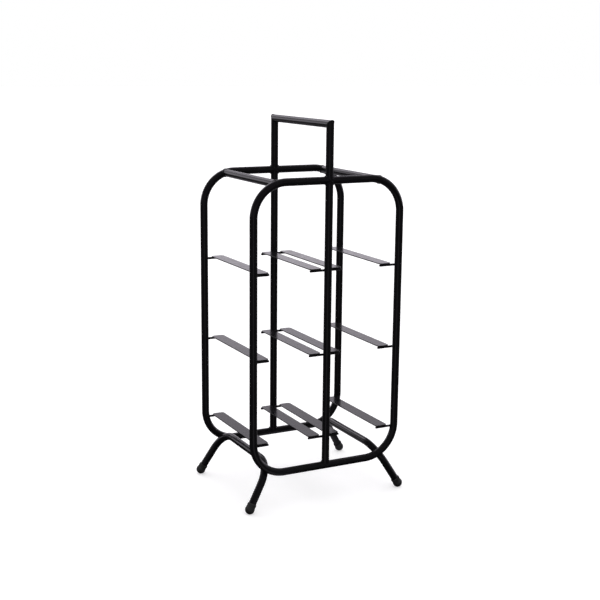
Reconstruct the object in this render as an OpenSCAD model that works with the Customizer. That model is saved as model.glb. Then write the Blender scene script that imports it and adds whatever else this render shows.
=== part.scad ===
// Bottle storage rack with a carry handle: two bent tube loops joined by top rails and leg
// tubes, a post in the middle of each loop, and flat strips on cross rods that make the bays.
// Millimetres, +Z up, +X across the width, -Y to the front. Origin on the floor, in the middle.

/* [Frame] */
// Width of a loop, between the centres of its uprights
frame_w = 200; // [190:1:260]
// Depth of the rack, between the centres of the two loops
frame_d = 150; // [140:2:220]
// Height of a loop, between the centres of its bottom and top bars
frame_h = 358; // [350:2:460]
// Bend radius of the loop corners, to the centre of the tube
corner_r = 42; // [38:1:48]
// Outside diameter of every tube
tube_d = 9.5; // [8:0.5:10]
// Wall thickness of every tube
tube_wall = 1; // [0.8:0.1:1.5]
// Height of the loops' bottom bars above the floor
floor_gap = 45.5; // [44:0.5:60]
// Place of a top rail on the corner bend, in degrees up from the side of the loop
rail_angle = 73; // [60:1:80]

/* [Handle] */
// Height of the handle bar above the top bars, centre to centre
handle_rise = 66.5; // [55:0.5:110]

/* [Legs] */
// Distance of a leg tube's level run from the middle of the rack
leg_x = 75.5; // [72:0.5:78]
// Height of the level run above the bottom bars
leg_rise = 10.8; // [10.5:0.1:14]
// Half length of the level run, up to where the bends start
leg_run = 42.9; // [36:0.1:43]
// Bend radius of a leg tube, to the centre of the tube
leg_bend_r = 31; // [26:1:32]
// Sideways lean of a leg, in degrees from upright
leg_lean_x = 31; // [24:0.5:34]
// Forward or backward lean of a leg, in degrees from upright
leg_lean_y = 9.5; // [6:0.5:12]

/* [Feet] */
// Diameter of the round end of a foot cap
foot_d = 12; // [12:0.1:15]
// Height of the centre of the round end above the floor
foot_rise = 5.5; // [5:0.1:5.8]
// Wall of the cap's sleeve around the tube
sleeve_wall = 0.85; // [0.6:0.05:1]
// Length of the sleeve, from the centre of the round end
sleeve_l = 7.5; // [7:0.5:14]

/* [Bays] */
// Height of the lowest strips' top face above the bottom bars
first_level = 38.5; // [36:0.5:60]
// Height from one level of strips to the next
level_pitch = 106; // [96:1:120]
// Width of a strip
strip_w = 16.5; // [12:0.5:18]
// Thickness of a strip
strip_t = 1.2; // [0.8:0.1:3]
// Corner radius of a strip
strip_corner_r = 4; // [1:0.5:5]
// Distance from the middle of the rack to a centre strip's near edge
centre_gap = 5.25; // [5.25:0.25:8]
// Distance from the centre of an upright to a side strip's near edge
side_gap = 7; // [6:0.25:12]
// Diameter of the cross rods under the strips
rod_d = 3; // [2.5:0.5:5]

/* [Hidden] */
$fn = 96;
tube_r = tube_d / 2;
bore_r = tube_r - tube_wall;
rod_r = rod_d / 2;
half_w = frame_w / 2;
half_d = frame_d / 2;
bottom_z = floor_gap;
top_z = floor_gap + frame_h;
middle_z = floor_gap + frame_h / 2;
handle_z = top_z + handle_rise;
// How far a bore or a trimming bar runs past the tube it cuts
over = 1;
// Room that the weld fills around a coped tube end
weld_gap = 0.15;
// Weep holes that join the bore of a loop to the bore of its posts
weep_r = 1.5;
// A trimming block, larger than any tube's end
block = 60;

// Top rails: the rail's centre sits on the centre of the corner bend
rail_x = half_w - corner_r + corner_r * cos(rail_angle);
rail_z = top_z - corner_r + corner_r * sin(rail_angle);

// Legs: the direction of the straight end, and the plane and angle of the bend before it
leg_v = [tan(leg_lean_x), tan(leg_lean_y), -1];
leg_u = leg_v / norm(leg_v);
leg_bend = acos(leg_u[1]);
leg_tilt = atan2(-leg_u[2], leg_u[0]);
leg_z = bottom_z + leg_rise;
bend_drop = leg_bend_r * (1 - cos(leg_bend)) * sin(leg_tilt);
// A bend comes out a hair thicker than the straight tube that runs into it
bend_swell = 0.02;
bend_lap = 0.3;
leg_end_l = (leg_z - bend_drop - foot_rise) / -leg_u[2];

// Feet: the bore is a little wider than the leg, whose end rests on the bore's floor
cap_clearance = 0.05;
bore_floor = 1;

// Strips and rods: the rods are welded across the inner side of the uprights and posts
rod_y = half_d - tube_r - rod_r;
strip_l = 2 * (rod_y + rod_r) - 0.5;
side_x = half_w - side_gap - strip_w / 2;
centre_x = centre_gap + strip_w / 2;
centre_rod_l = 2 * (centre_gap + strip_w);
side_rod_l = side_gap + strip_w;
function level_z(level) = bottom_z + first_level + level * level_pitch;
function arc(x, y, r, from) = [for (a = [from:15:from + 90]) [x + r * cos(a), y + r * sin(a)]];

LEVELS = ["lower", "middle", "upper"];
STRIPS = ["left_side", "left_centre", "right_centre", "right_side"];
STRIP_X = [-side_x, -centre_x, centre_x, side_x];
RODS = ["left", "centre", "right"];
ENDS = ["front", "back"];
SIDES = ["left", "right"];

module coat() { color([0.05, 0.05, 0.055]) children(); }
module strip_coat() { color([0.33, 0.32, 0.34]) children(); }
module cap_rubber() { color([0.08, 0.08, 0.08]) children(); }

// Round bars of radius r and length l along each axis, centred on the origin
module bar_x(r, l) { rotate([0, 90, 0]) cylinder(r = r, h = l, center = true); }
module bar_y(r, l) { rotate([90, 0, 0]) cylinder(r = r, h = l, center = true); }
module bar_z(r, l) { cylinder(r = r, h = l, center = true); }

// A bend of a round bar about the Z axis, starting on +X
module bend(bend_r, r, angle) {
    rotate_extrude(angle = angle) translate([bend_r, 0]) circle(r = r);
}

// The closed run of a loop as a bar of radius r, upright, about the loop's own middle
module loop_run(r) {
    flat_w = frame_w - 2 * corner_r;
    flat_h = frame_h - 2 * corner_r;
    for (s = [-1, 1]) {
        translate([s * half_w, 0, 0]) bar_z(r, flat_h);
        translate([0, 0, s * frame_h / 2]) bar_x(r, flat_w);
    }
    rotate([90, 0, 0]) for (sx = [-1, 1]) for (sy = [-1, 1])
        translate([sx * flat_w / 2, sy * flat_h / 2, 0])
            rotate([0, 0, 45 * (2 - sx) * sy - 45]) bend(corner_r, r, 90);
}

module loop(side) {
    coat() translate([0, side * half_d, middle_z]) difference() {
        loop_run(tube_r);
        loop_run(bore_r);
        translate([0, 0, frame_h / 2]) bar_z(weep_r, 2 * tube_d);
        translate([0, 0, tube_r - frame_h / 2]) bar_z(weep_r, tube_d);
    }
}

// Copes a tube's end around a loop's bar along X at height z, from above (1) or below (-1)
module cope(z, side) {
    translate([0, 0, z - side * weld_gap]) bar_x(tube_r + weld_gap, 3 * tube_d);
}

module post(side) {
    coat() translate([0, side * half_d, 0]) difference() {
        translate([0, 0, middle_z]) bar_z(tube_r, frame_h);
        translate([0, 0, middle_z]) bar_z(bore_r, frame_h + over);
        cope(bottom_z, 1);
        cope(top_z, -1);
    }
}

// The space beyond the mitre of a handle post (toward = 1) or of the handle bar (toward = -1)
module beyond_mitre(side, toward) {
    translate([0, side * half_d, handle_z]) rotate([side * (toward > 0 ? 45 : -135), 0, 0])
        translate([0, 0, block / 2]) cube(block, center = true);
}

module handle_post(side) {
    l = handle_rise + 2 * tube_r;
    coat() difference() {
        translate([0, side * half_d, top_z + l / 2]) bar_z(tube_r, l);
        translate([0, side * half_d, top_z + l / 2]) bar_z(bore_r, l + over);
        translate([0, side * half_d, 0]) cope(top_z, 1);
        beyond_mitre(side, 1);
    }
}

module handle_bar() {
    l = frame_d + 2 * tube_r;
    coat() difference() {
        translate([0, 0, handle_z]) bar_y(tube_r, l);
        translate([0, 0, handle_z]) bar_y(bore_r, l + over);
        for (side = [-1, 1]) beyond_mitre(side, -1);
    }
}

module top_rail(side) {
    coat() difference() {
        translate([side * rail_x, 0, rail_z]) bar_y(tube_r, frame_d);
        translate([side * rail_x, 0, rail_z]) bar_y(bore_r, frame_d + over);
        for (end = [-1, 1]) translate([0, end * (half_d + weld_gap), middle_z])
            rotate([90, 0, 0]) translate([side * (half_w - corner_r), frame_h / 2 - corner_r, 0])
                rotate([0, 0, side > 0 ? 0 : 90]) bend(corner_r, tube_r + weld_gap, 90);
    }
}

// The tilted plane of the right leg tube: +X down and outward, +Y to the back
module leg_plane() { translate([leg_x, 0, leg_z]) rotate([0, leg_tilt, 0]) children(); }

// The start of the back leg's straight end, which then runs along +Y
module leg_end() {
    translate([leg_bend_r * (1 - cos(leg_bend)), leg_run + leg_bend_r * sin(leg_bend), 0])
        rotate([0, 0, -leg_bend]) children();
}

// The right leg tube's whole run as a bar of radius r, with straight ends of length end_l
module leg_bar(r, end_l) {
    leg_plane() {
        bar_y(r, 2 * (leg_run + bend_lap));
        for (end = [0, 1]) mirror([0, end, 0]) leg_end() {
            translate([leg_bend_r, 0, 0]) rotate([0, 0, 180]) bend(leg_bend_r, r + bend_swell, leg_bend);
            translate([0, end_l / 2 - bend_lap / 2, 0]) bar_y(r, end_l + bend_lap);
        }
    }
}

module leg_tube(side) {
    coat() mirror([side > 0 ? 0 : 1, 0, 0]) difference() {
        leg_bar(tube_r, leg_end_l - bore_floor);
        leg_bar(bore_r, leg_end_l + over);
    }
}

// A cap with a round end and a sleeve, trimmed to a small flat sole on the floor
module foot(side, end) {
    cap_rubber() mirror([side > 0 ? 0 : 1, 0, 0]) mirror([0, end > 0 ? 0 : 1, 0]) difference() {
        leg_plane() leg_end() translate([0, leg_end_l, 0]) rotate([90, 0, 0])
            difference() {
                union() {
                    sphere(r = foot_d / 2);
                    cylinder(r = tube_r + sleeve_wall, h = sleeve_l);
                }
                translate([0, 0, bore_floor]) cylinder(r = tube_r + cap_clearance, h = sleeve_l);
            }
        translate([half_w, half_d, -block / 2]) cube(block, center = true);
    }
}

module strip(x, level) {
    corner_x = strip_w / 2 - strip_corner_r;
    corner_y = strip_l / 2 - strip_corner_r;
    strip_coat() translate([x, 0, level_z(level) - strip_t]) linear_extrude(strip_t) polygon(concat(
        arc(corner_x, corner_y, strip_corner_r, 0), arc(-corner_x, corner_y, strip_corner_r, 90),
        arc(-corner_x, -corner_y, strip_corner_r, 180), arc(corner_x, -corner_y, strip_corner_r, 270)
    ));
}

// A rod at one end of a level: the left (-1) or right (1) stub, or the centre one (0)
module rod(column, end, level) {
    l = column == 0 ? centre_rod_l : side_rod_l;
    coat() translate([column * (half_w - l / 2), end * rod_y, level_z(level) - strip_t - rod_r])
        bar_x(rod_r, l);
}

loop(-1);  // front_loop
loop(1);  // back_loop
post(-1);  // front_post
post(1);  // back_post
handle_post(-1);  // front_handle_post
handle_post(1);  // back_handle_post
handle_bar();
top_rail(-1);  // left_top_rail
top_rail(1);  // right_top_rail
leg_tube(-1);  // left_leg_tube
leg_tube(1);  // right_leg_tube
for (e = [0, 1]) for (s = [0, 1])
    foot(2 * s - 1, 2 * e - 1);
for (l = [0:2]) for (s = [0:3])
    strip(STRIP_X[s], l);
for (l = [0:2]) for (e = [0, 1]) for (r = [0:2])
    rod(r - 1, 2 * e - 1, l);
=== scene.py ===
"""A bottle rack of bent tube with a carry handle, laid out as a Blender add-on.

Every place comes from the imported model's own boxes. The property groups hold the sizes that the
boxes can't give, the finishes and the stage. Metres throughout, +Z up, -Y to the front.
"""
import math

import bmesh
import bpy
from bpy.props import FloatProperty, FloatVectorProperty, IntProperty, PointerProperty
from mathutils import Matrix, Vector


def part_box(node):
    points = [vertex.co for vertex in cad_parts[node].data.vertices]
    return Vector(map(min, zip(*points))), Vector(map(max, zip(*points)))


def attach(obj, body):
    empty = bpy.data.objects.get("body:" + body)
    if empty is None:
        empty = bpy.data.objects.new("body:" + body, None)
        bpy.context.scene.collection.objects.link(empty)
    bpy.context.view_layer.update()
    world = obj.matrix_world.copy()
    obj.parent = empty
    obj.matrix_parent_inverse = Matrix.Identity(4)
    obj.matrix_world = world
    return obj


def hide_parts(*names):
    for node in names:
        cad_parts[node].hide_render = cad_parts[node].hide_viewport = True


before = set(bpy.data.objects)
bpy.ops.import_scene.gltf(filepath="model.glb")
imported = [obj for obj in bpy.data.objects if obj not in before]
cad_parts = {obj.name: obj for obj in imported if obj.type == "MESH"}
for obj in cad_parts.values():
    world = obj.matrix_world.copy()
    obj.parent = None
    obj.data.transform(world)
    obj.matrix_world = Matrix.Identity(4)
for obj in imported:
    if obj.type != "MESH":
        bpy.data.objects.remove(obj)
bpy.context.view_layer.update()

bl_info = {
    "name": "Bottle rack",
    "version": (1, 0, 0),
    "blender": (4, 5, 0),
    "location": "3D View > Sidebar > Rack",
    "description": "Makes a welded tube rack for six bottles, with its finishes and its stage",
    "category": "Add Mesh",
}

BODY = "root"
MM = 0.001

LEVELS = ("lower", "middle", "upper")
STRIPS = ("left_side", "left_centre", "right_centre", "right_side")
RODS = ("left", "centre", "right")
ENDS = ("front", "back")
SIDES = ("left", "right")

# A leg tube stops this far above the centre of its cap's ball
TOE_GAP = 1.1 * MM
# Half sizes of a pad of weld: where a leg touches a loop, where a rod crosses an upright, under a strip
LEG_PAD = (3.4 * MM, 3.2 * MM, 1.3 * MM)
ROD_PAD = (2.1 * MM, 1.35 * MM, 0.6 * MM)
STRIP_PAD = (3.6 * MM, 0.9 * MM, 0.6 * MM)


# ---------------------------------------------------------------- places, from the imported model

def middle(node):
    """The middle of a node's box."""
    low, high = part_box(node)
    return (low + high) / 2


def extent(node):
    """The size of a node's box along each axis."""
    low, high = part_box(node)
    return high - low


TUBE_R = extent("front_post").x / 2
ROD_R = extent("lower_front_left_rod").z / 2
HALF_W = extent("front_loop").x / 2 - TUBE_R
BACK_Y = middle("back_loop").y
BOTTOM_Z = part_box("front_loop")[0].z + TUBE_R
TOP_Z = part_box("front_loop")[1].z - TUBE_R
HANDLE_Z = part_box("handle_bar")[1].z - TUBE_R
RAIL = middle("right_top_rail")
LEG_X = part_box("right_leg_tube")[0].x + TUBE_R
LEG_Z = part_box("right_leg_tube")[1].z - TUBE_R
STRIP_SIZE = extent("lower_left_side_strip")


# ---------------------------------------------------------------- properties

def length(name, text, value, low=0.0, high=1.0):
    """A length property in metres."""
    return FloatProperty(name=name, description=text, default=value, min=low, max=high,
                         unit="LENGTH", precision=5)


def share(name, text, value, high=1.0):
    """A plain number from nought."""
    return FloatProperty(name=name, description=text, default=value, min=0.0, max=high)


def paint(name, text, value):
    """A colour property, as linear red, green and blue."""
    return FloatVectorProperty(name=name, description=text, default=value, size=3,
                               subtype="COLOR", min=0.0, max=1.0)


def turn(name, text, degrees):
    """An angle property."""
    return FloatProperty(name=name, description=text, default=math.radians(degrees),
                         subtype="ANGLE", unit="ROTATION")


class RackSizes(bpy.types.PropertyGroup):
    """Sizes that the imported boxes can't give."""
    corner_bend: length("Corner bend", "Bend radius of the loop corners, to the tube's centre", 42 * MM)
    leg_bend: length("Leg bend", "Bend radius of the leg tubes, to the tube's centre", 31 * MM)
    leg_lean: turn("Leg lean", "Forward or backward lean of a leg from upright", 9.5)
    rail_angle: turn("Rail angle", "Place of a top rail on the corner bend, up from the side", 73)
    sides: IntProperty(name="Tube sides", description="Facets round a tube", default=48, min=12, max=96)
    bend_steps: IntProperty(name="Bend steps", description="Rings along a bend", default=28, min=6, max=64)
    foot_ball: length("Foot ball", "Radius of the round end of a foot cap", 6 * MM)
    foot_rise: length("Foot rise", "Height of the ball's centre above the floor", 5.5 * MM)
    foot_sleeve: length("Foot sleeve", "Outer radius of the cap's sleeve", 5.6 * MM)
    foot_length: length("Foot length", "Length of the sleeve above the ball's centre", 7.5 * MM)
    strip_corner: length("Strip corner", "Corner radius of a strip seen from above", 4 * MM)
    strip_edge: length("Strip edge", "Rounding of a strip's edges", 0.12 * MM)
    bead: length("Weld bead", "Half width of the bead round a tube's end", 1.25 * MM)
    mitre_bead: length("Mitre bead", "Half width of the bead at a corner of the handle", 0.55 * MM)


class RackFinish(bpy.types.PropertyGroup):
    """Colours and surface of the powder coat and the rubber."""
    coat_colour: paint("Coat colour", "Powder coat on tubes, rods and strips", (0.0055, 0.0052, 0.0062))
    coat_roughness: share("Coat roughness", "Mean roughness of the powder coat", 0.2)
    peel_size: length("Orange peel size", "Width of one bump of the powder coat", 1.3 * MM)
    peel_depth: length("Orange peel depth", "Height of the powder coat's bumps", 0.012 * MM)
    rubber_colour: paint("Rubber colour", "Foot caps", (0.022, 0.022, 0.022))
    rubber_roughness: share("Rubber roughness", "Mean roughness of the foot caps", 0.62)


class RackStage(bpy.types.PropertyGroup):
    """The floor, the light and the view."""
    view_side: turn("View side", "Direction of the camera, round from the front", -27.34)
    view_height: turn("View height", "Direction of the camera, up from level", 11.88)
    view_roll: turn("View roll", "Turn of the camera about its own axis", 0.55)
    view_distance: length("View distance", "From the aim point to the camera", 1.461, 0.1, 10.0)
    aim_x: length("Aim across", "Aim point, across the rack", 0.0007, -1.0, 1.0)
    aim_z: length("Aim height", "Aim point, above the floor", 0.2429)
    lens: share("Lens", "Focal length in millimetres on a 36 mm sensor", 68.39, 200.0)
    backdrop: share("Backdrop", "Brightness of the foot of the white wall behind the rack", 1.25, 10.0)
    wall_top: share("Wall top", "Brightness of the wall's top, as a share of its foot's", 0.4)
    lamp: share("Lamp", "Brightness of the wide lamp behind and above", 1.8, 20.0)
    lamp_side: turn("Lamp side", "Direction of the lamp, round from the back to the right", -4)
    lamp_height: turn("Lamp height", "Direction of the lamp, up from level", 38)
    lamp_spread: turn("Lamp spread", "From the middle of the lamp to its edge", 16)
    room: share("Room", "Brightness of the surroundings on the camera's side", 0.13, 10.0)
    light_colour: paint("Light colour", "Tint of the surroundings", (0.96, 0.91, 1.0))
    overhead: share("Overhead light", "Strength of the soft light from above", 2.4, 50.0)
    overhead_spread: turn("Overhead spread", "How wide the light from above is", 150)
    floor_glow: share("Floor glow", "Light that the floor shows of its own", 0.42, 10.0)
    floor_return: share("Floor return", "Share of the light that the floor throws back at the rack", 0.03)
    floor_front: share("Floor in front", "Glow in the rack of the floor between it and the camera", 0.22)
    floor_behind: share("Floor behind", "Glow in the rack of the floor behind it", 0.25)


# ---------------------------------------------------------------- node helpers

def link(tree, source, target):
    """Joins an output socket to an input socket."""
    tree.links.new(source, target)


class Grower:
    """A geometry tree under construction, with its named inputs."""

    def __init__(self, name, inputs):
        self.tree = bpy.data.node_groups.new(name, "GeometryNodeTree")
        face = self.tree.interface
        face.new_socket("Geometry", in_out="INPUT", socket_type="NodeSocketGeometry")
        for label, kind in inputs:
            face.new_socket(label, in_out="INPUT", socket_type="NodeSocket" + kind)
        face.new_socket("Geometry", in_out="OUTPUT", socket_type="NodeSocketGeometry")
        self.given = self.tree.nodes.new("NodeGroupInput").outputs
        self.result = self.tree.nodes.new("NodeGroupOutput").inputs

    def node(self, kind, settings=None, **sockets):
        """Adds a node; a socket is given a value or another node's output."""
        made = self.tree.nodes.new(kind)
        for key, value in (settings or {}).items():
            setattr(made, key, value)
        for label, value in sockets.items():
            target = made.inputs[int(label[1:])] if label[0] == "_" else made.inputs[label.replace("_", " ")]
            if isinstance(value, bpy.types.NodeSocket):
                link(self.tree, value, target)
            else:
                target.default_value = value
        return made.outputs[0]

    def math(self, operation, *values):
        """Adds a Math node."""
        sockets = {f"_{i}": v for i, v in enumerate(values)}
        return self.node("ShaderNodeMath", {"operation": operation}, **sockets)

    def attribute(self, name, kind):
        """Reads an attribute that the carrying mesh's points hold."""
        return self.node("GeometryNodeInputNamedAttribute", {"data_type": kind}, Name=name)

    def end(self, geometry):
        """Smooth shading, real geometry and the material, and so the tree's output."""
        smooth = self.node("GeometryNodeSetShadeSmooth", Geometry=geometry)
        real = self.node("GeometryNodeRealizeInstances", Geometry=smooth)
        coated = self.node("GeometryNodeSetMaterial", Geometry=real, Material=self.given["Material"])
        link(self.tree, coated, self.result["Geometry"])
        return self.tree


def grow(piece, tree, values):
    """Runs a geometry tree on a piece and leaves the result as the piece's plain mesh."""
    modifier = piece.modifiers.new(tree.name, "NODES")
    modifier.node_group = tree
    for item in tree.interface.items_tree:
        if item.in_out == "INPUT" and item.name in values:
            modifier[item.identifier] = values[item.name]
    seed = piece.data
    solved = piece.evaluated_get(bpy.context.evaluated_depsgraph_get())
    mesh = bpy.data.meshes.new_from_object(solved)
    piece.modifiers.remove(modifier)
    piece.data = mesh
    mesh.name = piece.name
    bpy.data.meshes.remove(seed)
    if len(mesh.polygons) == 0:
        raise RuntimeError(f"{piece.name} came out empty")
    turn_outward(mesh)


def turn_outward(mesh):
    """Makes the faces of every closed shell in a mesh point outwards."""
    work = bmesh.new()
    work.from_mesh(mesh)
    bmesh.ops.recalc_face_normals(work, faces=work.faces)
    if work.calc_volume(signed=True) < 0:
        bmesh.ops.reverse_faces(work, faces=work.faces)
    work.to_mesh(mesh)
    work.free()


def place(piece, slot, *nodes, crease=math.radians(40)):
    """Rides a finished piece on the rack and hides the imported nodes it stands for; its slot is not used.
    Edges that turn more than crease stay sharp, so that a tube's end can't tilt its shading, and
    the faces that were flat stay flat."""
    smooth = [face.use_smooth for face in piece.data.polygons]
    piece.data.set_sharp_from_angle(angle=crease)
    piece.data.polygons.foreach_set("use_smooth", smooth)
    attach(piece, BODY)
    if nodes:
        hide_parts(*nodes)


def new_piece(name, points=(), edges=(), faces=()):
    """An object at the origin with a mesh of the given points, edges and faces."""
    mesh = bpy.data.meshes.new(name)
    mesh.from_pydata([tuple(p) for p in points], list(edges), list(faces))
    piece = bpy.data.objects.new(name, mesh)
    bpy.context.scene.collection.objects.link(piece)
    return piece


def wires(name, runs, closed=False, thickness=None):
    """One piece that carries the centre lines of several tubes, as runs of joined points.
    thickness holds, for each point of a run, its share of the full radius."""
    points, edges, shares = [], [], []
    for run in runs:
        start = len(points)
        points += run
        edges += [(start + i, start + i + 1) for i in range(len(run) - 1)]
        if closed:
            edges.append((start + len(run) - 1, start))
        shares += thickness or [1.0] * len(run)
    piece = new_piece(name, points, edges)
    attribute = piece.data.attributes.new("thickness", "FLOAT", "POINT")
    attribute.data.foreach_set("value", shares)
    return piece


# ---------------------------------------------------------------- geometry trees

def tube_tree():
    """Sweeps a round section along the carried edges, with every corner bent to a radius."""
    g = Grower("Tube along a line", [("Tube Radius", "Float"), ("Bend Radius", "Float"),
                                     ("Bend Steps", "Int"), ("Sides", "Int"), ("Material", "Material")])
    line = g.node("GeometryNodeMeshToCurve", Mesh=g.given["Geometry"])
    bent = g.node("GeometryNodeFilletCurve", {"mode": "POLY"}, Curve=line, Radius=g.given["Bend Radius"],
                  Count=g.given["Bend Steps"], Limit_Radius=True)
    section = g.node("GeometryNodeCurvePrimitiveCircle", {"mode": "RADIUS"},
                     Resolution=g.given["Sides"], Radius=g.given["Tube Radius"])
    skin = g.node("GeometryNodeCurveToMesh", Curve=bent, Profile_Curve=section,
                  Scale=g.attribute("thickness", "FLOAT"), Fill_Caps=True)
    return g.end(skin)


def copies_tree():
    """Puts a copy of the carried shape at each place of a grid of columns and levels."""
    g = Grower("Strips on their levels", [("First Column", "Vector"), ("Second Column", "Vector"),
                                          ("Level Pitch", "Float"), ("Levels", "Int"),
                                          ("Material", "Material")])
    rise = g.node("ShaderNodeCombineXYZ", Z=g.given["Level Pitch"])
    spots = []
    for column in ("First Column", "Second Column"):
        for side in (1.0, -1.0):
            start = g.node("ShaderNodeVectorMath", {"operation": "MULTIPLY"},
                           _0=g.given[column], _1=(side, 1.0, 1.0))
            spots.append(g.node("GeometryNodeMeshLine", {"mode": "OFFSET"}, Count=g.given["Levels"],
                                Start_Location=start, Offset=rise))
    joined = g.tree.nodes.new("GeometryNodeJoinGeometry")
    for spot in spots:
        link(g.tree, spot, joined.inputs[0])
    copies = g.node("GeometryNodeInstanceOnPoints", Points=joined.outputs[0], Instance=g.given["Geometry"])
    real = g.node("GeometryNodeRealizeInstances", Geometry=copies)
    coated = g.node("GeometryNodeSetMaterial", Geometry=real, Material=g.given["Material"])
    link(g.tree, coated, g.result["Geometry"])
    return g.tree


def saddle_tree():
    """A rippled weld bead round the end of a tube that meets an equal tube at right angles.
    Local Z runs along the meeting tube, local X along the tube it meets. Mitre is nought where the
    end is saddled on the other tube, and one where both are cut at 45 degrees."""
    g = Grower("Weld round a tube end", [("Tube Radius", "Float"), ("Bead", "Float"), ("Ripples", "Float"),
                                         ("Ripple Depth", "Float"), ("Mitre", "Float"),
                                         ("Material", "Material")])
    ring = g.node("GeometryNodeCurvePrimitiveCircle", {"mode": "RADIUS"}, Resolution=180,
                  Radius=g.given["Tube Radius"])
    split = g.tree.nodes.new("ShaderNodeSeparateXYZ")
    link(g.tree, g.node("GeometryNodeInputPosition"), split.inputs[0])
    across = g.math("ABSOLUTE", split.outputs["X"])
    fold = g.math("ADD", g.math("MULTIPLY", across, g.math("SUBTRACT", 1.0, g.given["Mitre"])),
                  g.math("MULTIPLY", split.outputs["X"], g.given["Mitre"]))
    lift = g.node("ShaderNodeCombineXYZ", Z=fold)
    seam = g.node("GeometryNodeSetPosition", Geometry=ring, Offset=lift)
    part = g.node("GeometryNodeSplineParameter")
    wave = g.math("SINE", g.math("MULTIPLY", g.math("MULTIPLY", part, g.given["Ripples"]), math.tau))
    ripple = g.math("MULTIPLY_ADD", wave, g.given["Ripple Depth"], 1.0)
    crown = g.math("MULTIPLY_ADD", g.math("DIVIDE", across, g.given["Tube Radius"]), 0.45, 0.55)
    store = g.node("GeometryNodeStoreNamedAttribute", {"data_type": "FLOAT", "domain": "POINT"},
                   Geometry=seam, Name="girth", Value=g.math("MULTIPLY", ripple, crown))
    section = g.node("GeometryNodeCurvePrimitiveCircle", {"mode": "RADIUS"}, Resolution=12,
                     Radius=g.given["Bead"])
    bead = g.node("GeometryNodeCurveToMesh", Curve=store, Profile_Curve=section,
                  Scale=g.attribute("girth", "FLOAT"))
    facing = g.node("FunctionNodeEulerToRotation", Euler=g.attribute("facing", "FLOAT_VECTOR"))
    beads = g.node("GeometryNodeInstanceOnPoints", Points=g.given["Geometry"], Instance=bead, Rotation=facing)
    return g.end(beads)


def nugget_tree():
    """A small lumpy pad of weld metal at each carried point, of that point's own size and facing."""
    g = Grower("Weld where tubes touch", [("Lump", "Float"), ("Lump Size", "Float"), ("Seed", "Float"),
                                          ("Material", "Material")])
    ball = g.node("GeometryNodeMeshUVSphere", Segments=20, Rings=12, Radius=1.0)
    facing = g.node("FunctionNodeEulerToRotation", Euler=g.attribute("facing", "FLOAT_VECTOR"))
    pads = g.node("GeometryNodeInstanceOnPoints", Points=g.given["Geometry"], Instance=ball,
                  Rotation=facing, Scale=g.attribute("size", "FLOAT_VECTOR"))
    real = g.node("GeometryNodeRealizeInstances", Geometry=pads)
    noise = g.node("ShaderNodeTexNoise", {"noise_dimensions": "4D"}, W=g.given["Seed"],
                   Scale=g.math("DIVIDE", 1.0, g.given["Lump Size"]), Detail=1.0)
    swell = g.math("MULTIPLY", g.math("SUBTRACT", noise, 0.5), g.given["Lump"])
    push = g.node("ShaderNodeVectorMath", {"operation": "SCALE"}, _0=g.node("GeometryNodeInputNormal"),
                  Scale=swell)
    lumpy = g.node("GeometryNodeSetPosition", Geometry=real, Offset=push)
    return g.end(lumpy)


# ---------------------------------------------------------------- materials

class Wiring:
    """A shader tree under construction."""

    def __init__(self, tree):
        self.tree = tree

    def spread(self, value, low, high, start=0.3, stop=0.7, smooth=False):
        """Maps a value's range from start to stop onto low to high."""
        made = self.tree.nodes.new("ShaderNodeMapRange")
        made.interpolation_type = "SMOOTHSTEP" if smooth else "LINEAR"
        for label, number in (("From Min", start), ("From Max", stop), ("To Min", low), ("To Max", high)):
            made.inputs[label].default_value = number
        link(self.tree, value, made.inputs["Value"])
        return made.outputs["Result"]

    def math(self, operation, *values):
        """Adds a Math node."""
        made = self.tree.nodes.new("ShaderNodeMath")
        made.operation = operation
        for target, value in zip(made.inputs, values):
            if isinstance(value, bpy.types.NodeSocket):
                link(self.tree, value, target)
            else:
                target.default_value = value
        return made.outputs[0]

    def toward(self, way, x, y, z):
        """How far a direction points the way of x, y, z: 1 along it, 0 square to it, -1 against it."""
        ways = [self.tree.nodes.new("ShaderNodeVectorMath") for _ in range(2)]
        ways[0].operation, ways[1].operation = "NORMALIZE", "DOT_PRODUCT"
        link(self.tree, way, ways[0].inputs[0])
        link(self.tree, ways[0].outputs["Vector"], ways[1].inputs[0])
        ways[1].inputs[1].default_value = Vector((x, y, z)).normalized()
        return ways[1].outputs["Value"]

    def by_ray(self, others, seen, target):
        """Shows one shader to the camera's own rays and another to all others."""
        mix = self.tree.nodes.new("ShaderNodeMixShader")
        ray = self.tree.nodes.new("ShaderNodeLightPath").outputs["Is Camera Ray"]
        for source, socket in zip((ray, others, seen), mix.inputs):
            link(self.tree, source, socket)
        link(self.tree, mix.outputs[0], target)


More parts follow.
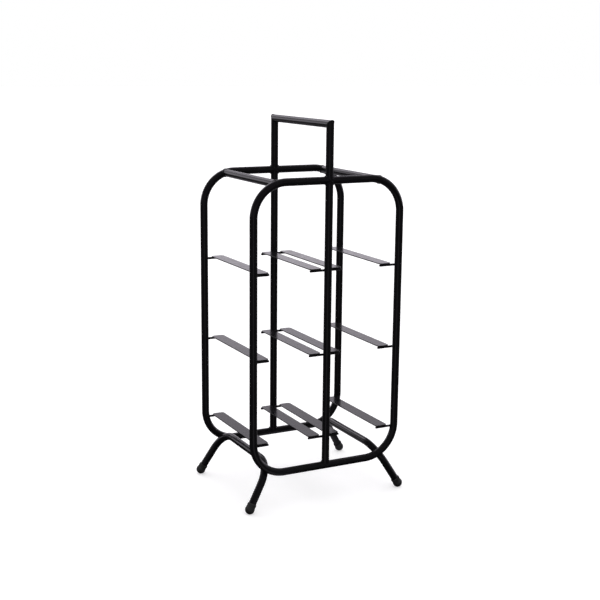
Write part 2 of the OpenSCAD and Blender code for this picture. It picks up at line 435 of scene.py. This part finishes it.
class Mixer(Wiring):
    """A surface material under construction, with its pattern in the object's own metres."""

    def __init__(self, name):
        self.material = bpy.data.materials.new(name)
        self.material.use_nodes = True
        super().__init__(self.material.node_tree)
        self.shader = self.tree.nodes["Principled BSDF"]
        self.place = self.tree.nodes.new("ShaderNodeTexCoord").outputs["Object"]

    def noise(self, size, detail=2.0, rough=0.5):
        """Noise whose features are about size metres wide."""
        made = self.tree.nodes.new("ShaderNodeTexNoise")
        made.inputs["Scale"].default_value = 1.0 / size
        made.inputs["Detail"].default_value = detail
        made.inputs["Roughness"].default_value = rough
        link(self.tree, self.place, made.inputs["Vector"])
        return made.outputs["Fac"]

    def tint(self, value, dark, light):
        """A colour between dark and light."""
        made = self.tree.nodes.new("ShaderNodeMix")
        made.data_type = "RGBA"
        made.inputs["A"].default_value = (*dark, 1.0)
        made.inputs["B"].default_value = (*light, 1.0)
        link(self.tree, value, made.inputs["Factor"])
        return made.outputs["Result"]

    def bump(self, value, depth, under=None):
        """A bump of the given depth in metres, over another one if given."""
        made = self.tree.nodes.new("ShaderNodeBump")
        made.inputs["Strength"].default_value = 1.0
        made.inputs["Distance"].default_value = depth
        link(self.tree, value, made.inputs["Height"])
        if under:
            link(self.tree, under, made.inputs["Normal"])
        return made.outputs["Normal"]

    def set(self, label, value):
        """Sets or links one of the shader's own inputs."""
        target = self.shader.inputs[label]
        if isinstance(value, bpy.types.NodeSocket):
            link(self.tree, value, target)
        else:
            target.default_value = value


def powder_coat(name, colour, roughness, peel, depth):
    """Black powder coat over steel: orange peel, faint cloudiness, specks and handling marks."""
    m = Mixer(name)
    cloud = m.spread(m.noise(35 * MM, 3.0), 0.0, 1.0)
    lighter = [min(1.0, c * 1.9 + 0.0015) for c in colour]
    speck = m.spread(m.noise(0.9 * MM, 0.0), 0.0, 1.0, 0.72, 0.78)
    dust = m.math("MULTIPLY", speck, 0.5)
    m.set("Base Color", m.tint(m.math("MAXIMUM", m.math("MULTIPLY", cloud, 0.5), dust), colour, lighter))
    marks = m.spread(m.noise(9 * MM, 4.0, 0.65), -0.05, 0.07)
    grain = m.spread(m.noise(peel * 0.5, 1.0), -0.02, 0.02)
    m.set("Roughness", m.math("ADD", m.math("ADD", marks, grain), roughness))
    m.set("IOR", 1.5)
    skin = m.bump(m.noise(peel * 5, 2.0), depth * 3)
    m.set("Normal", m.bump(m.noise(peel, 2.0, 0.6), depth, skin))
    return m.material


def cap_rubber(name, colour, roughness):
    """Moulded rubber: dull, faintly dusty, with the fine grain of the mould."""
    m = Mixer(name)
    dust = m.spread(m.noise(4 * MM, 4.0, 0.7), 0.0, 1.0, 0.4, 0.75)
    lighter = [min(1.0, c * 2.2) for c in colour]
    m.set("Base Color", m.tint(dust, colour, lighter))
    m.set("Roughness", m.math("ADD", m.spread(m.noise(2 * MM, 2.0), -0.05, 0.06), roughness))
    m.set("IOR", 1.5)
    m.set("Normal", m.bump(m.noise(0.5 * MM, 2.0), 0.02 * MM))
    return m.material


def coat():
    """The rack's powder coat, made once."""
    finish = bpy.context.scene.rack_finish
    return bpy.data.materials.get("black_powder_coat") or powder_coat(
        "black_powder_coat", finish.coat_colour, finish.coat_roughness, finish.peel_size, finish.peel_depth)


# ---------------------------------------------------------------- lines that the tubes follow

def loop_line(y):
    """The four corners of a loop's centre line."""
    return [Vector((x, y, z)) for x, z in ((-HALF_W, BOTTOM_Z), (HALF_W, BOTTOM_Z),
                                           (HALF_W, TOP_Z), (-HALF_W, TOP_Z))]


def foot_centre(side, end, sizes):
    """The centre of a foot cap's ball, side and end being -1 or 1."""
    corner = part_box("back_right_foot")[1]
    return Vector((side * (corner.x - sizes.foot_ball), end * (corner.y - sizes.foot_ball),
                   sizes.foot_rise))


def leg_knee(side, end, sizes):
    """Where the level run and the straight end of a leg tube would meet without the bend."""
    foot = foot_centre(side, end, sizes)
    return Vector((side * LEG_X, foot.y - end * (LEG_Z - foot.z) * math.tan(sizes.leg_lean), LEG_Z))


def leg_way(side, end, sizes):
    """The direction of a leg tube's straight end, down to the foot."""
    return (foot_centre(side, end, sizes) - leg_knee(side, end, sizes)).normalized()


def bent_line(points, radius, steps, closed):
    """The points of a line whose corners are bent to a radius, for finding where tubes touch."""
    line = []
    for i, corner in enumerate(points):
        if not closed and i in (0, len(points) - 1):
            line.append(corner)
            continue
        back = (points[i - 1] - corner).normalized()
        ahead = (points[(i + 1) % len(points)] - corner).normalized()
        half = back.angle(ahead) / 2
        centre = corner + (back + ahead).normalized() * radius / math.sin(half)
        start = corner + back * radius / math.tan(half) - centre
        stop = corner + ahead * radius / math.tan(half) - centre
        sweep = start.angle(stop)
        for k in range(steps + 1):
            a = sweep * k / steps
            line.append(centre + (start * math.sin(sweep - a) + stop * math.sin(a)) / math.sin(sweep))
    return line


def leg_touch(side, end, sizes):
    """Where a leg tube touches its loop: the point, the way across and the loop's own way there."""
    leg = [foot_centre(side, end, sizes), leg_knee(side, end, sizes), leg_knee(side, -end, sizes)]
    legs = bent_line(leg, sizes.leg_bend, 60, False)[:-1]
    loop = [p for p in bent_line(loop_line(end * BACK_Y), sizes.corner_bend, 90, True)
            if p.x * side > 0 and p.z < BOTTOM_Z + sizes.corner_bend]
    on_leg, at = min(((p, i) for p in legs for i in range(len(loop))),
                     key=lambda pair: (pair[0] - loop[pair[1]]).length)
    near = loop[at]
    along = (loop[min(at + 1, len(loop) - 1)] - loop[max(at - 1, 0)]).normalized()
    return (on_leg + near) / 2, (on_leg - near).normalized(), along


# ---------------------------------------------------------------- the pieces

class RackPiece:
    """What the piece operators share."""
    bl_options = {"REGISTER", "UNDO"}

    def execute(self, context):
        self.build(context.scene.rack_sizes)
        return {"FINISHED"}


class RACK_OT_loops(RackPiece, bpy.types.Operator):
    """Make the front and back loops of bent tube"""
    bl_idname = "rack.loops"
    bl_label = "Loops"

    def build(self, sizes):
        tree = tube_tree()
        for node, y in (("front_loop", -BACK_Y), ("back_loop", BACK_Y)):
            piece = wires(node + "_tube", [loop_line(y)], closed=True)
            grow(piece, tree, {"Tube Radius": TUBE_R, "Bend Radius": sizes.corner_bend,
                               "Bend Steps": sizes.bend_steps, "Sides": sizes.sides, "Material": coat()})
            place(piece, "frame_paint", node)


class RACK_OT_posts(RackPiece, bpy.types.Operator):
    """Make the straight posts of the loops and the top rails"""
    bl_idname = "rack.posts"
    bl_label = "Posts and rails"

    def build(self, sizes):
        runs = {}
        for end, y in zip(ENDS, (-BACK_Y, BACK_Y)):
            runs[end + "_post"] = [Vector((0, y, BOTTOM_Z)), Vector((0, y, TOP_Z))]
        for side, sign in zip(SIDES, (-1, 1)):
            runs[side + "_top_rail"] = [Vector((sign * RAIL.x, y, RAIL.z)) for y in (-BACK_Y, BACK_Y)]
        tree = tube_tree()
        for node, run in runs.items():
            piece = wires(node + "_tube", [run])
            grow(piece, tree, {"Tube Radius": TUBE_R, "Bend Radius": 0.0, "Bend Steps": 1,
                               "Sides": sizes.sides, "Material": coat()})
            place(piece, "frame_paint", node)


class RACK_OT_handle(RackPiece, bpy.types.Operator):
    """Make the handle: two posts and a bar, mitred at the corners"""
    bl_idname = "rack.handle"
    bl_label = "Handle"

    def build(self, sizes):
        ends = [Vector((0, -BACK_Y, TOP_Z)), Vector((0, -BACK_Y, HANDLE_Z)),
                Vector((0, BACK_Y, HANDLE_Z)), Vector((0, BACK_Y, TOP_Z))]
        for node, a, b in (("front_handle_post", 0, 1), ("handle_bar", 1, 2), ("back_handle_post", 3, 2)):
            piece = self.mitred(node + "_tube", ends[a], ends[b], mitre_a=a == 1, sides=sizes.sides)
            piece.data.materials.append(coat())
            place(piece, "frame_paint", node)

    def mitred(self, name, start, stop, mitre_a, sides):
        """A tube from start to stop, mitred at 45 degrees at the handle's corners."""
        way = (stop - start).normalized()
        out = Vector((1, 0, 0))
        up = way.cross(out)
        rows = []
        for corner, here in ((start, mitre_a), (stop, True)):
            ring = []
            for k in range(sides):
                a = math.tau * k / sides
                spot = out * math.cos(a) * TUBE_R + up * math.sin(a) * TUBE_R
                if here:
                    inward = Vector((0, -math.copysign(1, corner.y), -1)).normalized()
                    spot -= way * spot.dot(inward.cross(out)) / way.dot(inward.cross(out))
                ring.append(corner + spot)
            rows.append(ring)
        points = rows[0] + rows[1]
        faces = [(k, (k + 1) % sides, sides + (k + 1) % sides, sides + k) for k in range(sides)]
        faces += [tuple(reversed(range(sides))), tuple(range(sides, 2 * sides))]
        piece = new_piece(name, points, (), faces)
        turn_outward(piece.data)
        for face in piece.data.polygons:
            face.use_smooth = len(face.vertices) == 4
        return piece


class RACK_OT_leg_tubes(RackPiece, bpy.types.Operator):
    """Make the two leg tubes that run level between the loops and bend down to the feet"""
    bl_idname = "rack.leg_tubes"
    bl_label = "Leg tubes"

    def build(self, sizes):
        tree = tube_tree()
        for side, sign in zip(SIDES, (-1, 1)):
            toes = [foot_centre(sign, end, sizes) - leg_way(sign, end, sizes) * TOE_GAP for end in (-1, 1)]
            knees = [leg_knee(sign, end, sizes) for end in (-1, 1)]
            piece = wires(side + "_leg_bent_tube", [[toes[0], *knees, toes[1]]])
            grow(piece, tree, {"Tube Radius": TUBE_R, "Bend Radius": sizes.leg_bend,
                               "Bend Steps": sizes.bend_steps, "Sides": sizes.sides, "Material": coat()})
            place(piece, "frame_paint", side + "_leg_tube")


class RACK_OT_foot_caps(RackPiece, bpy.types.Operator):
    """Make the four push-on caps with a round end and a small flat sole"""
    bl_idname = "rack.foot_caps"
    bl_label = "Foot caps"

    def build(self, sizes):
        finish = bpy.context.scene.rack_finish
        rubber = cap_rubber("foot_rubber", finish.rubber_colour, finish.rubber_roughness)
        for end, y in zip(ENDS, (-1, 1)):
            for side, x in zip(SIDES, (-1, 1)):
                node = f"{end}_{side}_foot"
                piece = self.cap(node + "_cap", foot_centre(x, y, sizes), -leg_way(x, y, sizes), sizes)
                piece.data.materials.append(rubber)
                place(piece, "foot_rubber", node)

    def cap(self, name, centre, up, sizes, around=48):
        """One cap, turned about the leg's own axis and cut flat at the floor."""
        ball, sleeve, lip = sizes.foot_ball, sizes.foot_sleeve, sizes.foot_length
        shoulder = math.sqrt(ball ** 2 - sleeve ** 2)
        profile, steps = [], 19
        for k in range(1, steps + 1):
            a = -math.pi / 2 + (math.pi / 2 + math.asin(shoulder / ball)) * k / steps
            profile.append((ball * math.cos(a), ball * math.sin(a)))
        profile += [(sleeve - 0.08 * MM, shoulder + 0.5 * MM), (sleeve - 0.1 * MM, lip - 2.2 * MM),
                    (sleeve, lip - 1.9 * MM), (sleeve + 0.12 * MM, lip - 1.5 * MM),
                    (sleeve + 0.12 * MM, lip - 0.5 * MM), (sleeve - 0.02 * MM, lip - 0.15 * MM),
                    (sleeve - 0.3 * MM, lip), (TUBE_R + 0.12 * MM, lip - 0.02 * MM),
                    (TUBE_R + 0.03 * MM, lip - 0.25 * MM), (TUBE_R + 0.03 * MM, 1.0 * MM)]
        points = [(0, 0, -ball)]
        for r, h in profile:
            points += [(r * math.cos(math.tau * k / around), r * math.sin(math.tau * k / around), h)
                       for k in range(around)]
        faces = [(0, 1 + (k + 1) % around, 1 + k) for k in range(around)]
        for row in range(len(profile) - 1):
            a = 1 + row * around
            faces += [(a + k, a + (k + 1) % around, a + around + (k + 1) % around, a + around + k)
                      for k in range(around)]
        faces.append(tuple(1 + (len(profile) - 1) * around + k for k in range(around)))
        piece = new_piece(name, points, (), faces)
        turned = Matrix.Translation(centre) @ Vector((0, 0, 1)).rotation_difference(up).to_matrix().to_4x4()
        piece.data.transform(turned)
        work = bmesh.new()
        work.from_mesh(piece.data)
        cut = bmesh.ops.bisect_plane(work, geom=work.verts[:] + work.edges[:] + work.faces[:],
                                     plane_co=(0, 0, 0), plane_no=(0, 0, 1), clear_inner=True)
        rim = [e for e in cut["geom_cut"] if isinstance(e, bmesh.types.BMEdge)]
        sole = bmesh.ops.edgeloop_fill(work, edges=rim)["faces"]
        for face in work.faces:
            face.smooth = len(face.verts) <= 6
        for face in sole:
            face.smooth = False
        work.to_mesh(piece.data)
        work.free()
        turn_outward(piece.data)
        return piece


class RACK_OT_strips(RackPiece, bpy.types.Operator):
    """Make the twelve flat strips that the bottles lie on"""
    bl_idname = "rack.strips"
    bl_label = "Strips"

    def build(self, sizes):
        piece = self.strip(sizes)
        first, second = (middle(f"lower_{name}_strip") for name in ("right_centre", "right_side"))
        pitch = middle("middle_left_side_strip").z - first.z
        grow(piece, copies_tree(), {"First Column": first, "Second Column": second, "Level Pitch": pitch,
                                    "Levels": len(LEVELS), "Material": coat()})
        place(piece, "strip_paint", *[f"{level}_{name}_strip" for level in LEVELS for name in STRIPS])

    def strip(self, sizes):
        """One strip about the origin, with round corners and softened edges."""
        edge, steps, corner_steps = sizes.strip_edge, 4, 8
        size = STRIP_SIZE
        rings = []
        for half, z0 in ((-1, -size.z / 2), (1, size.z / 2)):
            for k in range(steps + 1):
                a = math.pi / 2 * (k if half < 0 else steps - k) / steps
                rings.append((edge * (1 - math.sin(a)), z0 - half * edge * (1 - math.cos(a))))
        points = []
        for inset, z in rings:
            radius = sizes.strip_corner - inset
            for q in range(4):
                cx = (size.x / 2 - sizes.strip_corner) * (1, -1, -1, 1)[q]
                cy = (size.y / 2 - sizes.strip_corner) * (1, 1, -1, -1)[q]
                for k in range(corner_steps + 1):
                    a = math.pi / 2 * (q + k / corner_steps)
                    points.append((cx + radius * math.cos(a), cy + radius * math.sin(a), z))
        n = 4 * (corner_steps + 1)
        faces = []
        for row in range(len(rings) - 1):
            a = row * n
            faces += [(a + k, a + (k + 1) % n, a + n + (k + 1) % n, a + n + k) for k in range(n)]
        faces += [tuple(reversed(range(n))), tuple(range((len(rings) - 1) * n, len(rings) * n))]
        piece = new_piece("shelf_strips", points, (), faces)
        for face in piece.data.polygons:
            face.use_smooth = len(face.vertices) == 4
        return piece


class RACK_OT_rods(RackPiece, bpy.types.Operator):
    """Make the eighteen cross rods that carry the strips"""
    bl_idname = "rack.rods"
    bl_label = "Cross rods"

    def build(self, sizes):
        names = [f"{level}_{end}_{rod}_rod" for level in LEVELS for end in ENDS for rod in RODS]
        # Each end is rounded over its last stretch: distance from the end, share of the radius
        ends = ((0.0, 0.55), (0.12, 0.76), (0.35, 0.92), (0.75, 1.0))
        runs = []
        for name in names:
            low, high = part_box(name)
            y, z = middle(name).y, middle(name).z
            steps = [low.x + d * MM for d, _ in ends] + [high.x - d * MM for d, _ in reversed(ends)]
            runs.append([Vector((x, y, z)) for x in steps])
        thickness = [s for _, s in ends] + [s for _, s in reversed(ends)]
        piece = wires("cross_rods", runs, thickness=thickness)
        grow(piece, tube_tree(), {"Tube Radius": ROD_R, "Bend Radius": 0.0, "Bend Steps": 1,
                                  "Sides": 24, "Material": coat()})
        place(piece, "frame_paint", *names)


def joint_points(name, joints):
    """A piece that carries one point for each joint, with its facing and, where given, its size."""
    piece = new_piece(name, [j[0] for j in joints])
    for label, column in (("facing", 1), ("size", 2)):
        if len(joints[0]) > column:
            attribute = piece.data.attributes.new(label, "FLOAT_VECTOR", "POINT")
            attribute.data.foreach_set("vector", [v for j in joints for v in j[column]])
    return piece


def facing(z_way, x_way):
    """The turn that takes local Z to z_way and local X near to x_way."""
    z = Vector(z_way).normalized()
    y = z.cross(Vector(x_way)).normalized()
    x = y.cross(z)
    return Matrix((x, y, z)).transposed().to_euler()


class RACK_OT_welds(RackPiece, bpy.types.Operator):
    """Make the weld beads round the tube ends and the pads of weld where tubes and rods touch"""
    bl_idname = "rack.welds"
    bl_label = "Welds"

    def build(self, sizes):
        across = (1, 0, 0)
        angle = sizes.rail_angle
        rings = []
        for y in (-BACK_Y, BACK_Y):
            rings.append(((0, y, BOTTOM_Z), facing((0, 0, 1), across)))
            rings.append(((0, y, TOP_Z), facing((0, 0, -1), across)))
            rings.append(((0, y, TOP_Z), facing((0, 0, 1), across)))
            for side in (-1, 1):
                along = (-side * math.sin(angle), 0, math.cos(angle))
                rings.append(((side * RAIL.x, y, RAIL.z), facing((0, -y, 0), along)))
        beads = joint_points("tube_end_welds", rings)
        tree = saddle_tree()
        grow(beads, tree, {"Tube Radius": TUBE_R, "Bead": sizes.bead, "Ripples": 34.0,
                           "Ripple Depth": 0.07, "Mitre": 0.0, "Material": coat()})
        place(beads, "frame_paint")
        corners = joint_points("handle_corner_welds", [
            ((0, y, HANDLE_Z), facing((0, 0, 1), (0, y, 0))) for y in (-BACK_Y, BACK_Y)])
        grow(corners, tree, {"Tube Radius": TUBE_R - 0.15 * MM, "Bead": sizes.mitre_bead, "Ripples": 44.0,
                             "Ripple Depth": 0.12, "Mitre": 1.0, "Material": coat()})
        place(corners, "frame_paint")

        pads = []
        for end in (-1, 1):
            for side in (-1, 1):
                spot, normal, along = leg_touch(side, end, sizes)
                pads.append((spot, facing(normal, along), LEG_PAD))
            for level in LEVELS:
                rod = middle(f"{level}_{'front' if end < 0 else 'back'}_centre_rod")
                for x in (-HALF_W, 0.0, HALF_W):
                    spot = (x - math.copysign(0.6 * MM, x) * (x != 0), rod.y + end * ROD_R, rod.z)
                    pads.append((spot, facing((0, end, 0), across), ROD_PAD))
        for level in LEVELS:
            for name in STRIPS:
                strip = middle(f"{level}_{name}_strip")
                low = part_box(f"{level}_{name}_strip")[0]
                for end, label in ((-1, "front"), (1, "back")):
                    rod = middle(f"{level}_{label}_centre_rod")
                    spot = (strip.x, rod.y - end * ROD_R * 0.75, low.z - 0.35 * MM)
                    pads.append((spot, facing((0, 0, 1), across), STRIP_PAD))
        nuggets = joint_points("touch_welds", pads)
        grow(nuggets, nugget_tree(), {"Lump": 0.45 * MM, "Lump Size": 1.6 * MM, "Seed": 3.0,
                                      "Material": coat()})
        place(nuggets, "frame_paint")


# ---------------------------------------------------------------- the stage

class RACK_OT_stage(bpy.types.Operator):
    """Make the floor, the surroundings, the light and the camera"""
    bl_idname = "rack.stage"
    bl_label = "Stage"
    bl_options = {"REGISTER", "UNDO"}

    def execute(self, context):
        stage = context.scene.rack_stage
        self.floor(stage)
        self.surroundings(context.scene, stage)
        self.lamp(stage)
        self.camera(context.scene, stage)
        return {"FINISHED"}

    def floor(self, stage, reach=20.0):
        """A large floor, white to the camera's own rays. To all others, reflections among them, it is
        nearly black, with a glow in front of the rack and one behind it."""
        piece = new_piece("floor", [(-reach, -reach, 0), (reach, -reach, 0), (reach, reach, 0),
                                    (-reach, reach, 0)], (), [(0, 1, 2, 3)])
        m = Mixer("white_floor")
        m.set("Base Color", m.tint(m.noise(60 * MM), (0.79, 0.79, 0.79), (0.81, 0.81, 0.81)))
        m.set("Roughness", 0.9)
        m.set("Specular IOR Level", 0.1)
        m.set("Emission Color", (1.0, 1.0, 1.0, 1.0))
        m.set("Emission Strength", stage.floor_glow)
        dull = m.tree.nodes.new("ShaderNodeBsdfPrincipled")
        dull.inputs["Base Color"].default_value = (*[stage.floor_return] * 3, 1.0)
        dull.inputs["Specular IOR Level"].default_value = 0.0
        dull.inputs["Emission Color"].default_value = (*stage.light_colour, 1.0)
        front = m.toward(m.place, math.sin(stage.view_side), -math.cos(stage.view_side), 0.0)
        lit = m.math("ADD", m.spread(front, 0.0, stage.floor_front, 0.96, 0.995, smooth=True),
                     m.spread(front, stage.floor_behind, 0.0, -0.95, -0.5, smooth=True))
        link(m.tree, lit, dull.inputs["Emission Strength"])
        m.by_ray(dull.outputs[0], m.shader.outputs[0], m.tree.nodes["Material Output"].inputs["Surface"])
        piece.data.materials.append(m.material)

    def surroundings(self, scene, stage):
        """White to the eye. In reflections a white wall stands behind, brightest low down, with a
        wide lamp high above it; the ceiling and the camera's side are dark."""
        world = bpy.data.worlds.new("white_room")
        world.use_nodes = True
        scene.world = world
        w = Wiring(world.node_tree)
        w.tree.nodes.clear()
        way = w.tree.nodes.new("ShaderNodeTexCoord").outputs["Generated"]

        behind = w.toward(way, -math.sin(stage.view_side), math.cos(stage.view_side), 0.0)
        wall = w.spread(behind, stage.room, stage.backdrop, 0.0, 0.5, smooth=True)
        height = w.spread(w.toward(way, 0.0, 0.0, 1.0), 1.0, stage.wall_top, 0.1, 0.4, smooth=True)
        level = math.cos(stage.lamp_height)
        spot = w.toward(way, math.sin(stage.lamp_side) * level, math.cos(stage.lamp_side) * level,
                        math.sin(stage.lamp_height))
        lamp = w.spread(spot, 0.0, stage.lamp, math.cos(stage.lamp_spread),
                        math.cos(stage.lamp_spread * 0.5), smooth=True)
        lit = w.tree.nodes.new("ShaderNodeBackground")
        lit.inputs["Color"].default_value = (*stage.light_colour, 1.0)
        link(w.tree, w.math("ADD", w.math("MULTIPLY", wall, height), lamp), lit.inputs["Strength"])
        seen = w.tree.nodes.new("ShaderNodeBackground")
        seen.inputs["Color"].default_value = (1.0, 1.0, 1.0, 1.0)
        out = w.tree.nodes.new("ShaderNodeOutputWorld")
        w.by_ray(lit.outputs[0], seen.outputs[0], out.inputs["Surface"])
        scene.view_settings.view_transform = "Standard"

    def lamp(self, stage):
        """An even light from the whole sky above, which casts soft shadows close to the feet."""
        light = bpy.data.lights.new("overhead", "SUN")
        light.angle = stage.overhead_spread
        light.energy = stage.overhead
        lamp = bpy.data.objects.new("overhead", light)
        lamp.location = (0.0, 0.0, 1.7)
        lamp.visible_glossy = False
        bpy.context.scene.collection.objects.link(lamp)

    def camera(self, scene, stage):
        """The camera, aimed at the middle of the rack."""
        data = bpy.data.cameras.new("view")
        data.sensor_width = 36.0
        data.lens = stage.lens
        data.clip_end = 50.0
        camera = bpy.data.objects.new("view", data)
        level = math.cos(stage.view_height)
        back = Vector((math.sin(stage.view_side) * level, -math.cos(stage.view_side) * level,
                       math.sin(stage.view_height)))
        spot = Vector((stage.aim_x, 0.0, stage.aim_z)) + back * stage.view_distance
        turned = back.to_track_quat("Z", "Y").to_matrix() @ Matrix.Rotation(stage.view_roll, 3, "Z")
        camera.matrix_world = Matrix.Translation(spot) @ turned.to_4x4()
        scene.collection.objects.link(camera)
        scene.camera = camera


# ---------------------------------------------------------------- panel and registration

PIECES = (RACK_OT_loops, RACK_OT_posts, RACK_OT_handle, RACK_OT_leg_tubes, RACK_OT_foot_caps,
          RACK_OT_strips, RACK_OT_rods, RACK_OT_welds, RACK_OT_stage)


class RACK_PT_panel(bpy.types.Panel):
    """Sizes, finishes and stage of the rack, with a button for each piece"""
    bl_idname = "RACK_PT_panel"
    bl_label = "Bottle rack"
    bl_space_type = "VIEW_3D"
    bl_region_type = "UI"
    bl_category = "Rack"

    def draw(self, context):
        for group in (context.scene.rack_sizes, context.scene.rack_finish, context.scene.rack_stage):
            column = self.layout.column(align=True)
            for key in type(group).__annotations__:
                column.prop(group, key)
        for piece in PIECES:
            self.layout.operator(piece.bl_idname)


GROUPS = {"rack_sizes": RackSizes, "rack_finish": RackFinish, "rack_stage": RackStage}


def register():
    """Registers the add-on's classes and puts its settings on the scene."""
    for made in (*GROUPS.values(), *PIECES, RACK_PT_panel):
        bpy.utils.register_class(made)
    for name, group in GROUPS.items():
        setattr(bpy.types.Scene, name, PointerProperty(type=group))


def unregister():
    """Takes the settings and the classes away again."""
    for name in GROUPS:
        delattr(bpy.types.Scene, name)
    for made in (RACK_PT_panel, *reversed(PIECES), *GROUPS.values()):
        bpy.utils.unregister_class(made)


def main():
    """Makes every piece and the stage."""
    register()
    for piece in PIECES:
        getattr(bpy.ops.rack, piece.bl_idname.split(".")[1])()


if __name__ == "__main__":
    main()
